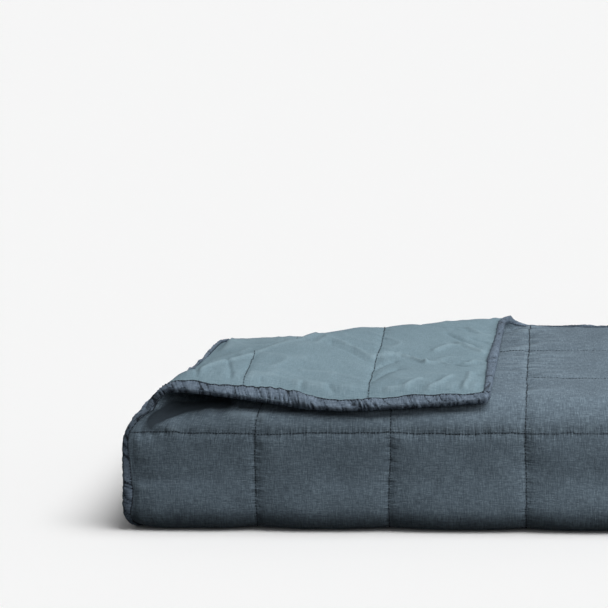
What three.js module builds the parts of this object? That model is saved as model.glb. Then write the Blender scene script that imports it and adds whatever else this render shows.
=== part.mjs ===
// A folded linen quilt, in millimetres, +Z up, origin at the bottom centre of the folded block.
//
// The quilt is folded in half across its width, with the fold at the right and the face outside.
// The doubled cloth is then folded back and forth from front to back, and its last run goes
// under the block, up the front and back over the top. The outer layer's corner is turned back
// over the top, so that the paler reverse shows.

import * as THREE from 'three';

// Driving dimensions of the cloth
const LAYER_THICKNESS = 10.6;
const LAYER_GAP = 1.65;
const PANEL_GAP = 0.3;
const BINDING_WIDTH = 10;
const BINDING_WALL = 1.1;
const BINDING_GAP = 0.6;
const BINDING_NOSE = 2.4;
const SEAM_THICKNESS = 7;
const FILLS_OUT_OVER = 30;

// Driving dimensions of the folded block
const BLOCK_WIDTH = 896;
const BLOCK_DEPTH = 434;
const DOUBLED_PLIES = 6;
const FRONT_TOP_RADIUS = 40;
const FRONT_BOTTOM_RADIUS = 25;
const WRAP_CLEARANCE = 3;

// The turned corner: its crease runs from the end edge, at the back, to the side edge, at the front
const CREASE_ON_END_EDGE = 452;
const CREASE_ON_SIDE_EDGE = 450;
const ROLL_RADIUS_AT_BACK = 8.8;
const ROLL_RADIUS_AT_FRONT = 16;
const ROLL_SWELL = 1.8;
const ROLL_OUTWARD_SHARE = 0.5;
const CREASE_BOW = { reach: 58, halfLength: 331.4, sharpness: 4, fadesOver: 157.3 };
const FLAP_LIFT = 14.7;
const FLAP_SETTLES_OVER = 120;
const FLAP_SLIP = 34.6;
const CORNER_DRAWN_BACK = 5.3;
const END_DRAWN_IN = { atCorner: 11.1, atBack: 14.4, over: 160, from: 50 };

// How far each inner turn stands back from the outermost place that it could have
const TURNS = [
  { place: 'back', inset: 0 },
  { place: 'front', inset: 2 },
  { place: 'back', inset: 9 },
  { place: 'front', inset: 0 },
];
const INNER_END_INSET = 6;

// Rows of the grid over the top, from the end edge forward, close together where the crease meets the side
const TOP_ROWS = [100, 200, 290, 330, 352, 366, 375, 384];

// The soft unevenness of the whole block
const LEFT_SHOULDER = { radiusAtFront: 50, radiusAtBack: 145, fadesOver: 230, steepest: 0.84 };
const LEFT_DROP = { share: 0.03, fadesOver: 90, atFront: 0.3 };
const FRONT_BULGE = 3;
const LOW_BULGE = { most: 7, at: 22, spread: 34, deepest: 0.2 };
const BACK_RISE = { share: 0.036, from: 420, to: 470, startsDeep: 0.3 };
const SAG = { share: 0.006, lengthAcross: 1100, lengthDeep: 1500 };

const COLOURS = { face: 0x49545c, reverse: 0x7d949d, binding: 0x51606b };

// Sizes that follow from the driving dimensions
const LAYER_OFFSET = (LAYER_THICKNESS + LAYER_GAP) / 2;
const PLY_PITCH = 2 * (LAYER_THICKNESS + LAYER_GAP);
const HALF_PLY = LAYER_OFFSET + LAYER_THICKNESS / 2;
const TURN_RADIUS = PLY_PITCH / 2;
const BOTTOM_PLY_HEIGHT = HALF_PLY;
const TOP_PLY_HEIGHT = HALF_PLY + (DOUBLED_PLIES - 1) * PLY_PITCH;
const BLOCK_HEIGHT = TOP_PLY_HEIGHT + HALF_PLY;
const FOLD_AT = BLOCK_WIDTH - HALF_PLY;
const HAIRPIN_LENGTH = Math.PI * LAYER_OFFSET;
const SHEET_WIDTH = 2 * FOLD_AT + HAIRPIN_LENGTH;

const smoothstep = (low, high, value) => THREE.MathUtils.smoothstep(value, low, high);

// The section of the doubled cloth

// Lays straight runs and bends end to end. Each keeps its place and its length along the outer layer.
function makeSection() {
  const pieces = [];
  const at = { y: BLOCK_DEPTH, z: TOP_PLY_HEIGHT, heading: Math.PI, along: 0 };

  const run = (length, steps) => {
    pieces.push({ ...at, length, radius: 0, turn: 0, steps });
    at.y += Math.cos(at.heading) * length;
    at.z += Math.sin(at.heading) * length;
    at.along += length;
  };

  const bend = (radius, turn, steps) => {
    const side = Math.sign(turn);
    const length = (radius + side * LAYER_OFFSET) * Math.abs(turn);
    pieces.push({ ...at, length, radius, turn, steps });
    at.y += side * radius * (Math.sin(at.heading + turn) - Math.sin(at.heading));
    at.z -= side * radius * (Math.cos(at.heading + turn) - Math.cos(at.heading));
    at.heading += turn;
    at.along += length;
  };

  const runTo = (y, steps) => run(Math.abs(y - at.y), steps);

  runTo(FRONT_TOP_RADIUS, [BINDING_WIDTH, ...TOP_ROWS]);
  bend(FRONT_TOP_RADIUS - HALF_PLY, Math.PI / 2, 7);
  run(TOP_PLY_HEIGHT - BOTTOM_PLY_HEIGHT - FRONT_TOP_RADIUS - FRONT_BOTTOM_RADIUS + 2 * HALF_PLY, 2);
  bend(FRONT_BOTTOM_RADIUS - HALF_PLY, Math.PI / 2, 3);

  const backTurn = BLOCK_DEPTH - HALF_PLY - TURN_RADIUS;
  const frontTurn = 2 * HALF_PLY + WRAP_CLEARANCE + HALF_PLY + TURN_RADIUS;
  for (const { place, inset } of TURNS) {
    const isBack = place === 'back';
    runTo(isBack ? backTurn - inset : frontTurn + inset, 2);
    bend(TURN_RADIUS, isBack ? Math.PI : -Math.PI, 4);
  }
  const lastRun = BLOCK_DEPTH - INNER_END_INSET - at.y;
  run(lastRun, [lastRun / 2, lastRun - BINDING_WIDTH]);
  return { pieces, length: at.along };
}

const section = makeSection();

// The centre line of the doubled cloth, and its outward direction, at a length along the outer layer.
function sectionAt(along) {
  const { pieces } = section;
  const piece = pieces.find((one) => along <= one.along + one.length) ?? pieces.at(-1);
  const past = along - piece.along;
  if (piece.turn === 0) {
    const [cos, sin] = [Math.cos(piece.heading), Math.sin(piece.heading)];
    return { y: piece.y + cos * past, z: piece.z + sin * past, outY: sin, outZ: -cos };
  }
  const side = Math.sign(piece.turn);
  const heading = piece.heading + (piece.turn * past) / piece.length;
  return {
    y: piece.y + side * piece.radius * (Math.sin(heading) - Math.sin(piece.heading)),
    z: piece.z - side * piece.radius * (Math.cos(heading) - Math.cos(piece.heading)),
    outY: Math.sin(heading),
    outZ: -Math.cos(heading),
  };
}

// The middle of the cloth as a surface of two lengths

// A place over the doubled cloth: across the block, along its section and outward from its centre line.
function placeOver(across, along, outward, raised = 0) {
  const at = sectionAt(along);
  return new THREE.Vector3(across, at.y + at.outY * outward, at.z + at.outZ * outward + raised);
}

const creaseNormal = new THREE.Vector2(1 / CREASE_ON_SIDE_EDGE, 1 / CREASE_ON_END_EDGE);
const creaseDistance = 1 / creaseNormal.length();
creaseNormal.normalize();

function rollRadiusAt(along) {
  const forward = THREE.MathUtils.clamp(along / CREASE_ON_SIDE_EDGE, 0, 1);
  const straight = THREE.MathUtils.lerp(ROLL_RADIUS_AT_BACK, ROLL_RADIUS_AT_FRONT, forward);
  return straight + ROLL_SWELL * Math.sin(Math.PI * forward);
}

// How far back the loose roll bows from a straight crease, most of all half way along it.
function bowOfRoll(along, across, beyond, radius, laidBack) {
  const { reach, halfLength, sharpness, fadesOver } = CREASE_BOW;
  const fromMiddle = (creaseNormal.y * along - creaseNormal.x * across) / halfLength;
  const profile = Math.max(1 - fromMiddle ** 2, 0) ** sharpness;
  return reach * profile * smoothstep(0, 2 * radius, beyond) * (1 - smoothstep(0, fadesOver, laidBack));
}

// How far the end edge of the turned corner is drawn in by the gathered binding.
function drawnAtEnd(along, across, beyond) {
  const { atCorner, atBack, over, from } = END_DRAWN_IN;
  const towardBack = THREE.MathUtils.clamp(across / CREASE_ON_END_EDGE, 0, 1);
  const most = THREE.MathUtils.lerp(atCorner, atBack, towardBack);
  return most * (1 - smoothstep(0, over, along)) * smoothstep(0, from, beyond);
}

// The outer layer, with the part beyond the crease rolled up and laid back over the rest.
function outerLayer(along, across) {
  const beyond = creaseDistance - creaseNormal.x * along - creaseNormal.y * across;
  if (beyond <= 0) return placeOver(across, along, LAYER_OFFSET);

  const foot = new THREE.Vector2(along, across).addScaledVector(creaseNormal, beyond);
  const radius = rollRadiusAt(foot.x);
  const rolled = Math.min(beyond / radius, Math.PI);
  const laidBack = beyond - radius * rolled;
  foot.addScaledVector(creaseNormal, laidBack - radius * Math.sin(rolled));

  const towardCorner = beyond / creaseDistance;
  foot.x += FLAP_SLIP * towardCorner * (1 - towardCorner) - CORNER_DRAWN_BACK * towardCorner ** 2;
  foot.x -= bowOfRoll(along, across, beyond, radius, laidBack);
  foot.y -= drawnAtEnd(along, across, beyond);

  const lying = smoothstep(0, FLAP_SETTLES_OVER, laidBack);
  const lift = THREE.MathUtils.lerp(radius * (1 - Math.cos(rolled)), FLAP_LIFT, lying);
  const outwardShare = THREE.MathUtils.lerp(ROLL_OUTWARD_SHARE, 1, lying);
  return placeOver(foot.y, foot.x, LAYER_OFFSET + lift * outwardShare, lift * (1 - outwardShare));
}

// Across the sheet: the outer layer, the fold at the right, then the inner layer back to the left.
function middleOfCloth(along, acrossSheet) {
  if (acrossSheet <= FOLD_AT) return outerLayer(along, acrossSheet);
  const pastFold = acrossSheet - FOLD_AT - HAIRPIN_LENGTH;
  if (pastFold >= 0) return placeOver(FOLD_AT - pastFold, along, -LAYER_OFFSET);
  const angle = (acrossSheet - FOLD_AT) / LAYER_OFFSET;
  return placeOver(FOLD_AT + LAYER_OFFSET * Math.sin(angle), along, LAYER_OFFSET * Math.cos(angle));
}

// The cloth's two directions and its outward normal, all of unit length.
function directionsAt(along, acrossSheet) {
  const reach = 0.4;
  const [before, after] = [-reach, reach].map((step) => middleOfCloth(along + step, acrossSheet));
  const [left, right] = [-reach, reach].map((step) => middleOfCloth(along, acrossSheet + step));
  const alongCloth = after.sub(before).normalize();
  const acrossCloth = right.sub(left).normalize();
  const normal = new THREE.Vector3().crossVectors(acrossCloth, alongCloth).negate().normalize();
  return { alongCloth, acrossCloth, normal };
}

// Moves a point of the cloth as the block has sunk and rounded where the middle of the cloth is.
function settled(point, middle) {
  const deep = THREE.MathUtils.clamp(middle.y / BLOCK_DEPTH, 0, 1);
  const high = THREE.MathUtils.clamp(middle.z / BLOCK_HEIGHT, 0, 1);

  const shoulder = LEFT_SHOULDER;
  const radius = THREE.MathUtils.lerp(shoulder.radiusAtFront, shoulder.radiusAtBack, deep);
  const steep = THREE.MathUtils.clamp((middle.z - BLOCK_HEIGHT + radius) / radius, 0, shoulder.steepest);
  const pulledIn = radius * (1 - Math.sqrt(1 - steep * steep));
  const left = 1 - smoothstep(0, shoulder.fadesOver, middle.x);

  const dropShare = LEFT_DROP.share * THREE.MathUtils.lerp(LEFT_DROP.atFront, 1, deep);
  const drop = dropShare * Math.exp(-Math.max(middle.x, 0) / LEFT_DROP.fadesOver);
  const sag = SAG.share * Math.cos(2 * Math.PI * (middle.x / SAG.lengthAcross + middle.y / SAG.lengthDeep));
  const nearFloor = Math.exp(-(((middle.z - LOW_BULGE.at) / LOW_BULGE.spread) ** 2));
  const lowBulge = LOW_BULGE.most * nearFloor * (1 - smoothstep(0, LOW_BULGE.deepest, deep));
  const bulge = FRONT_BULGE * Math.sin(Math.PI * high) * (1 - deep) + lowBulge;
  const atRight = smoothstep(BACK_RISE.from, BACK_RISE.to, middle.x);
  const rise = BACK_RISE.share * atRight * smoothstep(BACK_RISE.startsDeep, 1, deep);
  return new THREE.Vector3(
    point.x + pulledIn * left,
    point.y - bulge,
    point.z * (1 - drop - sag + rise),
  );
}

// The grid that every solid shares

// Lengths along the section: every step of every run and bend.
function rowsAlong() {
  const rows = [0];
  for (const piece of section.pieces) {
    const inner = Array.isArray(piece.steps)
      ? piece.steps
      : Array.from({ length: piece.steps - 1 }, (_, k) => ((k + 1) * piece.length) / piece.steps);
    rows.push(...inner.map((step) => piece.along + step), piece.along + piece.length);
  }
  return rows;
}

// Lengths across the sheet for one row. Beside the crease they follow it, and further on they spread out.
function columnsAcross(along) {
  const flapShares = [1 / 3, 2 / 3, 1];
  const rollShares = [3 / 4, 1 / 2, 1 / 4, 0];
  const flatShares = [1 / 3, 2 / 3, 1];
  const leastStep = 2.5;
  const spreadOver = 110;

  const crease = (creaseDistance - creaseNormal.x * along) / creaseNormal.y;
  const rollWidth = (Math.PI * rollRadiusAt(along)) / creaseNormal.y;
  const flapWidth = crease - rollWidth - BINDING_WIDTH;
  const beside = [
    ...flapShares.map((share) => BINDING_WIDTH + flapWidth * share),
    ...rollShares.map((share) => crease - rollWidth * share),
  ];
  const spread = smoothstep(CREASE_ON_SIDE_EDGE, CREASE_ON_SIDE_EDGE + spreadOver, along);
  const evenStep = FOLD_AT / (beside.length + flatShares.length);
  const columns = [0, BINDING_WIDTH];
  beside.forEach((wanted, k) => {
    const free = Math.max(wanted, columns.at(-1) + leastStep);
    columns.push(THREE.MathUtils.lerp(free, evenStep * (k + 1), spread));
  });
  const last = columns.at(-1);
  columns.push(...flatShares.map((share) => THREE.MathUtils.lerp(last, FOLD_AT, share)));

  const turned = [1 / 3, 2 / 3, 1].map((share) => FOLD_AT + HAIRPIN_LENGTH * share);
  const fromInnerEdge = [FOLD_AT / 2, FOLD_AT / 7, BINDING_WIDTH, 0];
  return [...columns, ...turned, ...fromInnerEdge.map((inset) => SHEET_WIDTH - inset)];
}

// The panels are pressed thin under the binding, and fill out to their full thickness beyond it.
function thicknessAt(along, across) {
  const fromEdge = Math.min(along, section.length - along, across, SHEET_WIDTH - across);
  const filled = smoothstep(BINDING_WIDTH, BINDING_WIDTH + FILLS_OUT_OVER, fromEdge);
  return THREE.MathUtils.lerp(SEAM_THICKNESS, LAYER_THICKNESS, filled);
}

const grid = rowsAlong().map((along) =>
  columnsAcross(along).map((across) => ({
    middle: middleOfCloth(along, across),
    thickness: thicknessAt(along, across),
    ...directionsAt(along, across),
  })),
);
const lastRow = grid.length - 1;
const lastColumn = grid[0].length - 1;

// Closed solids over that grid

// Collects triangles of one solid, joining points at the same place and dropping empty triangles.
function solidBuilder() {
  const positions = [];
  const triangles = [];
  const known = new Map();
  const indexOf = (point) => {
    const key = [point.x, point.y, point.z].map((value) => value.toFixed(3)).join(' ');
    if (!known.has(key)) {
      known.set(key, positions.length / 3);
      positions.push(point.x, point.y, point.z);
    }
    return known.get(key);
  };
  const triangle = (...corners) => {
    const [a, b, c] = corners.map(indexOf);
    if (a !== b && b !== c && c !== a) triangles.push(a, b, c);
  };
  const finish = () => {
    const geometry = new THREE.BufferGeometry();
    geometry.setAttribute('position', new THREE.Float32BufferAttribute(positions, 3));
    geometry.setIndex(triangles);
    geometry.computeVertexNormals();
    return geometry;
  };
  return { triangle, finish };
}

const offsetPoint = ({ middle, normal }, offset) =>
  settled(middle.clone().addScaledVector(normal, offset), middle);

// One panel: a sheet between two distances from the middle of the cloth, with its four edges closed.
function panelGeometry(side) {
  const solid = solidBuilder();
  const surface = grid.map((cells) => cells.map((cell) => offsetPoint(cell, (side * cell.thickness) / 2)));
  const join = grid.map((cells) => cells.map((cell) => offsetPoint(cell, (side * PANEL_GAP) / 2)));
  const [upper, lower] = side > 0 ? [surface, join] : [join, surface];

  for (let row = 0; row < lastRow; row += 1) {
    for (let column = 0; column < lastColumn; column += 1) {
      const [next, beside] = [row + 1, column + 1];
      solid.triangle(upper[row][column], upper[next][column], upper[next][beside]);
      solid.triangle(upper[row][column], upper[next][beside], upper[row][beside]);
      solid.triangle(lower[row][column], lower[next][beside], lower[next][column]);
      solid.triangle(lower[row][column], lower[row][beside], lower[next][beside]);
    }
  }
  const wall = (high, low, nextHigh, nextLow) => {
    solid.triangle(high, low, nextLow);
    solid.triangle(high, nextLow, nextHigh);
  };
  for (let row = 0; row < lastRow; row += 1) {
    const next = row + 1;
    wall(upper[row][0], lower[row][0], upper[next][0], lower[next][0]);
    wall(upper[next][lastColumn], lower[next][lastColumn], upper[row][lastColumn], lower[row][lastColumn]);
  }
  for (let column = 0; column < lastColumn; column += 1) {
    const beside = column + 1;
    wall(upper[0][beside], lower[0][beside], upper[0][column], lower[0][column]);
    wall(upper[lastRow][column], lower[lastRow][column], upper[lastRow][beside], lower[lastRow][beside]);
  }
  return solid.finish();
}

// The places round the sheet's four edges, in order, each with its way outward and the cell one step in.
function edgePlaces() {
  const places = [];
  const add = (row, column, splitFromEdge) => {
    const outward = new THREE.Vector3();
    const cell = grid[row][column];
    if (row === 0) outward.sub(cell.alongCloth);
    if (row === lastRow) outward.add(cell.alongCloth);
    if (column === 0) outward.sub(cell.acrossCloth);
    if (column === lastColumn) outward.add(cell.acrossCloth);
    const insideRow = THREE.MathUtils.clamp(row, 1, lastRow - 1);
    const insideColumn = THREE.MathUtils.clamp(column, 1, lastColumn - 1);
    places.push({ cell, inside: grid[insideRow][insideColumn], outward, splitFromEdge });
  };
  for (let row = 0; row < lastRow; row += 1) add(row, 0, true);
  for (let column = 0; column < lastColumn; column += 1) add(lastRow, column, false);
  for (let row = lastRow; row > 0; row -= 1) add(row, lastColumn, true);
  for (let column = lastColumn; column > 0; column -= 1) add(0, column, false);
  return places;
}

// The binding: a strip folded over the edge all the way round, as a channel that the panels' edges sit in.
function bindingGeometry() {
  const solid = solidBuilder();
  const inner = SEAM_THICKNESS / 2 + BINDING_GAP;
  const outer = inner + BINDING_WALL;
  const corners = [
    { at: 'inside', height: outer, reach: 0 },
    { at: 'edge', height: outer, reach: BINDING_NOSE },
    { at: 'edge', height: -outer, reach: BINDING_NOSE },
    { at: 'inside', height: -outer, reach: 0 },
    { at: 'inside', height: -inner, reach: 0 },
    { at: 'edge', height: -inner, reach: BINDING_GAP },
    { at: 'edge', height: 0, reach: BINDING_GAP },
    { at: 'edge', height: inner, reach: BINDING_GAP },
    { at: 'inside', height: inner, reach: 0 },
  ];
  const rings = edgePlaces().map(({ cell, inside, outward, splitFromEdge }) => ({
    splitFromEdge,
    points: corners.map(({ at, height, reach }) => {
      const { middle, normal } = at === 'edge' ? cell : inside;
      const point = middle.clone().addScaledVector(outward, reach).addScaledVector(normal, height);
      return settled(point, middle);
    }),
  }));
  rings.forEach((ring, k) => {
    const next = rings[(k + 1) % rings.length];
    corners.forEach((corner, side) => {
      const other = (side + 1) % corners.length;
      const [a, b] = [ring.points[side], ring.points[other]];
      const [c, d] = [next.points[side], next.points[other]];
      const isWall = corner.at === 'edge' && corners[other].at === 'edge';
      const splitFromFirst = isWall
        ? corner.height > corners[other].height
        : (corner.at === 'edge') === ring.splitFromEdge;
      if (splitFromFirst) {
        solid.triangle(a, d, c);
        solid.triangle(a, b, d);
      } else {
        solid.triangle(a, b, c);
        solid.triangle(b, d, c);
      }
    });
  });
  return solid.finish();
}

// The named pieces

function clothPiece(name, geometry, color, roughness) {
  const material = new THREE.MeshStandardMaterial({ color, roughness, metalness: 0 });
  const mesh = new THREE.Mesh(geometry, material);
  mesh.name = name;
  return mesh;
}

const quilt = new THREE.Group();
quilt.add(clothPiece('face_panel', panelGeometry(1), COLOURS.face, 0.92));
quilt.add(clothPiece('backing_panel', panelGeometry(-1), COLOURS.reverse, 0.92));
quilt.add(clothPiece('binding', bindingGeometry(), COLOURS.binding, 0.9));

// The origin is at the bottom centre of the whole.
const centre = new THREE.Box3().setFromObject(quilt).getCenter(new THREE.Vector3());
quilt.children.forEach((piece) => piece.geometry.translate(-centre.x, -centre.y, 0));

export default quilt;
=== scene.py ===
# The looks of the folded linen quilt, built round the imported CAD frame.
# The cloth's own map is in millimetres, as in the CAD source, and meshes are in metres.

import math
from math import pi

import bpy
import numpy as np
from mathutils import Matrix
from numpy.linalg import norm


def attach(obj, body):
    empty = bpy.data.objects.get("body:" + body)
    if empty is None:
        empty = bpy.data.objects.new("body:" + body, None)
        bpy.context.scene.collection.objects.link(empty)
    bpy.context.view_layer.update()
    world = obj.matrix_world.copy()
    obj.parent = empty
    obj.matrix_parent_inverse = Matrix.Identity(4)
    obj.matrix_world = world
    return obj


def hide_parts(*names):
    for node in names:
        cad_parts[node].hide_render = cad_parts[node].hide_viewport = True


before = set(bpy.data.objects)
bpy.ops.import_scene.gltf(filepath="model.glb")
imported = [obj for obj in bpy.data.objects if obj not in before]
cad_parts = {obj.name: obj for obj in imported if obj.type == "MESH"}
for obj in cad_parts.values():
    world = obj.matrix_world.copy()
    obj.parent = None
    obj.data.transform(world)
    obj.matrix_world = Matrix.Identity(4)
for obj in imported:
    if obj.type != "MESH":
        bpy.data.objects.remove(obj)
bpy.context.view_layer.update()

METRES = 0.001

# Sizes of the cloth and of the folded block, as in the CAD
LAYER_THICKNESS = 10.6
LAYER_GAP = 1.65
PANEL_GAP = 0.3
BINDING_WIDTH = 10
SEAM_THICKNESS = 7
FILLS_OUT_OVER = 30
BLOCK_WIDTH = 896
BLOCK_DEPTH = 434
DOUBLED_PLIES = 6
FRONT_TOP_RADIUS = 40
FRONT_BOTTOM_RADIUS = 25
WRAP_CLEARANCE = 3
BLOCK_CENTRE = np.array([446.035, 214.448, 0])

# The turned corner, whose crease meets the sheet's end and its side so far from the corner
CREASE_AT_END = 452
CREASE_AT_SIDE = 450
ROLL_RADIUS_AT_BACK = 8.8
ROLL_RADIUS_AT_FRONT = 16
ROLL_SWELL = 1.8
ROLL_OUTWARD_SHARE = 0.5
BOW_REACH = 58
BOW_HALF_LENGTH = 331.4
BOW_SHARPNESS = 4
BOW_FADES_OVER = 157.3
FLAP_LIFT = 14.7
FLAP_SETTLES_OVER = 120
FLAP_SLIP = 34.6
CORNER_DRAWN_BACK = 5.3
END_DRAWN_IN_AT_CORNER = 11.1
END_DRAWN_IN_AT_BACK = 14.4
END_DRAWN_OVER = 160
END_DRAWN_FROM = 50

# Each inner turn, and how far it stands back from the outermost place that it could have
TURNS = [("back", 0), ("front", 2), ("back", 9), ("front", 0)]
INNER_END_INSET = 6

# How the whole block has sunk and rounded
SHOULDER_RADIUS_AT_FRONT = 50
SHOULDER_RADIUS_AT_BACK = 145
SHOULDER_FADES_OVER = 230
SHOULDER_STEEPEST = 0.84
LEFT_DROP_SHARE = 0.03
LEFT_DROP_FADES_OVER = 90
LEFT_DROP_AT_FRONT = 0.3
FRONT_BULGE = 3
SAG_SHARE = 0.006
SAG_ACROSS = 1100
SAG_DEEP = 1500
LOW_BULGE = 7
LOW_BULGE_AT = 22
LOW_BULGE_SPREAD = 34
LOW_BULGE_DEEP = 0.2
BACK_RISE_SHARE = 0.036
BACK_RISE_FROM = 400
BACK_RISE_TO = 450
BACK_RISE_DEEP = 0.3
BOTTOM_CORNER_RADIUS = 26
BOTTOM_CORNER_FADES_OVER = 90
BOTTOM_CORNER_STEEPEST = 0.94

# The stitched squares
FIRST_LINE_ACROSS = 147
FIRST_LINE_ALONG = 145
SQUARE_ACROSS = 150
SQUARE_ALONG = 149.2
LINE_WOBBLE = 1.8
LINE_WOBBLE_LENGTH = 42
LINE_JAG = 0.7
LINE_JAG_LENGTH = 8

# Sizes that follow
LAYER_OFFSET = (LAYER_THICKNESS + LAYER_GAP) / 2
PLY_PITCH = 2 * (LAYER_THICKNESS + LAYER_GAP)
HALF_PLY = LAYER_OFFSET + LAYER_THICKNESS / 2
TURN_RADIUS = PLY_PITCH / 2
BOTTOM_PLY_HEIGHT = HALF_PLY
TOP_PLY_HEIGHT = HALF_PLY + (DOUBLED_PLIES - 1) * PLY_PITCH
BLOCK_HEIGHT = TOP_PLY_HEIGHT + HALF_PLY
FOLD_AT = BLOCK_WIDTH - HALF_PLY
HAIRPIN_LENGTH = pi * LAYER_OFFSET
SHEET_WIDTH = 2 * FOLD_AT + HAIRPIN_LENGTH


# Small helpers for numbers


def lerp(low, high, share):
    return low + (high - low) * share


def ramp(low, high, value):
    """From 0 at low to 1 at high, with soft ends. It falls where low is the greater."""
    share = np.clip((value - low) / (high - low), 0, 1)
    return share * share * (3 - 2 * share)


def unit(vectors):
    return vectors / np.maximum(norm(vectors, axis=-1, keepdims=True), 1e-12)


def corner_value(i, j, seed):
    """A number from -1 to 1 for a whole-number place, the same in every run."""
    mixed = (i * 374761393 + j * 668265263 + seed * 974634777) & 0xFFFFFFFF
    mixed = ((mixed ^ (mixed >> 13)) * 1274126177) & 0xFFFFFFFF
    mixed = mixed ^ (mixed >> 16)
    return mixed / 0x7FFFFFFF - 1


def noise(x, y, seed):
    """Smooth noise from -1 to 1, with one bump or hollow for about each unit of x and of y."""
    x, y = np.broadcast_arrays(x, y)
    i, j = np.floor(x).astype(np.int64), np.floor(y).astype(np.int64)
    share_x, share_y = ramp(0, 1, x - i), ramp(0, 1, y - j)
    near = lerp(corner_value(i, j, seed), corner_value(i + 1, j, seed), share_x)
    far = lerp(corner_value(i, j + 1, seed), corner_value(i + 1, j + 1, seed), share_x)
    return lerp(near, far, share_y)


# The section of the doubled cloth


def make_section():
    """Straight runs and bends end to end: start, length, radius, turn, y, z and heading of each."""
    pieces = []
    at = {"y": BLOCK_DEPTH, "z": TOP_PLY_HEIGHT, "heading": pi, "along": 0}

    def add(length, radius, turn):
        pieces.append((at["along"], length, radius, turn, at["y"], at["z"], at["heading"]))
        at["along"] += length

    def run(length):
        add(length, 0, 0)
        at["y"] += math.cos(at["heading"]) * length
        at["z"] += math.sin(at["heading"]) * length

    def run_to(y):
        run(abs(y - at["y"]))

    def bend(radius, turn):
        side = math.copysign(1, turn)
        add((radius + side * LAYER_OFFSET) * abs(turn), radius, turn)
        before = at["heading"]
        at["heading"] += turn
        at["y"] += side * radius * (math.sin(at["heading"]) - math.sin(before))
        at["z"] -= side * radius * (math.cos(at["heading"]) - math.cos(before))

    run_to(FRONT_TOP_RADIUS)
    bend(FRONT_TOP_RADIUS - HALF_PLY, pi / 2)
    run(TOP_PLY_HEIGHT - BOTTOM_PLY_HEIGHT - FRONT_TOP_RADIUS - FRONT_BOTTOM_RADIUS + 2 * HALF_PLY)
    bend(FRONT_BOTTOM_RADIUS - HALF_PLY, pi / 2)
    back_turn = BLOCK_DEPTH - HALF_PLY - TURN_RADIUS
    front_turn = 2 * HALF_PLY + WRAP_CLEARANCE + HALF_PLY + TURN_RADIUS
    for place, inset in TURNS:
        is_back = place == "back"
        run_to(back_turn - inset if is_back else front_turn + inset)
        bend(TURN_RADIUS, pi if is_back else -pi)
    run(BLOCK_DEPTH - INNER_END_INSET - at["y"])
    return np.array(pieces), at["along"]


SECTION, SHEET_LENGTH = make_section()
BENDS = SECTION[SECTION[:, 3] != 0]
FRONT_START = BENDS[0][0]
FRONT_END = BENDS[1][0] + BENDS[1][1]


def place_over(across, along, outward, raised=0):
    """A place over the doubled cloth: across, along its section and outward from its centre."""
    index = np.maximum(np.searchsorted(SECTION[:, 0], along, side="right") - 1, 0)
    start, length, radius, turn, y, z, heading = np.moveaxis(SECTION[index], -1, 0)
    past = along - start
    now = heading + turn * past / length
    straight, bent = past * (turn == 0), radius * np.sign(turn)
    at_y = y + straight * np.cos(heading) + bent * (np.sin(now) - np.sin(heading)) + outward * np.sin(now)
    at_z = z + straight * np.sin(heading) - bent * (np.cos(now) - np.cos(heading)) - outward * np.cos(now)
    return np.stack(np.broadcast_arrays(across, at_y, at_z + raised), -1)


# The middle of the cloth as a surface of two lengths

CREASE_DISTANCE = 1 / math.hypot(1 / CREASE_AT_SIDE, 1 / CREASE_AT_END)
CREASE_ALONG = CREASE_DISTANCE / CREASE_AT_SIDE
CREASE_ACROSS = CREASE_DISTANCE / CREASE_AT_END


def beyond_crease(along, across):
    return CREASE_DISTANCE - CREASE_ALONG * along - CREASE_ACROSS * across


def outer_layer(along, across):
    """The outer layer, rolled up and laid back over itself beyond the crease."""
    beyond = beyond_crease(along, across)
    foot_along = along + CREASE_ALONG * beyond
    forward = np.clip(foot_along / CREASE_AT_SIDE, 0, 1)
    radius = lerp(ROLL_RADIUS_AT_BACK, ROLL_RADIUS_AT_FRONT, forward) + ROLL_SWELL * np.sin(pi * forward)
    rolled = np.clip(beyond / radius, 0, pi)
    laid_back = beyond - radius * rolled

    from_middle = (CREASE_ACROSS * along - CREASE_ALONG * across) / BOW_HALF_LENGTH
    bow = BOW_REACH * np.clip(1 - from_middle**2, 0, 1) ** BOW_SHARPNESS
    bow = bow * ramp(0, 2 * radius, beyond) * ramp(BOW_FADES_OVER, 0, laid_back)
    moved = beyond + laid_back - radius * np.sin(rolled)
    to_corner = np.clip(beyond / CREASE_DISTANCE, 0, 1)
    slipped = FLAP_SLIP * to_corner * (1 - to_corner) - CORNER_DRAWN_BACK * to_corner**2

    toward_back = np.clip(across / CREASE_AT_END, 0, 1)
    drawn = lerp(END_DRAWN_IN_AT_CORNER, END_DRAWN_IN_AT_BACK, toward_back)
    drawn = drawn * ramp(END_DRAWN_OVER, 0, along) * ramp(0, END_DRAWN_FROM, beyond)

    lying = ramp(0, FLAP_SETTLES_OVER, laid_back)
    lift = lerp(radius * (1 - np.cos(rolled)), FLAP_LIFT, lying)
    outward_share = lerp(ROLL_OUTWARD_SHARE, 1, lying)
    turned = place_over(
        across + CREASE_ACROSS * moved - drawn,
        along + CREASE_ALONG * moved + slipped - bow,
        LAYER_OFFSET + lift * outward_share,
        lift * (1 - outward_share),
    )
    flat = place_over(across, along, LAYER_OFFSET)
    return np.where((beyond <= 0)[..., None], flat, turned)


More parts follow.
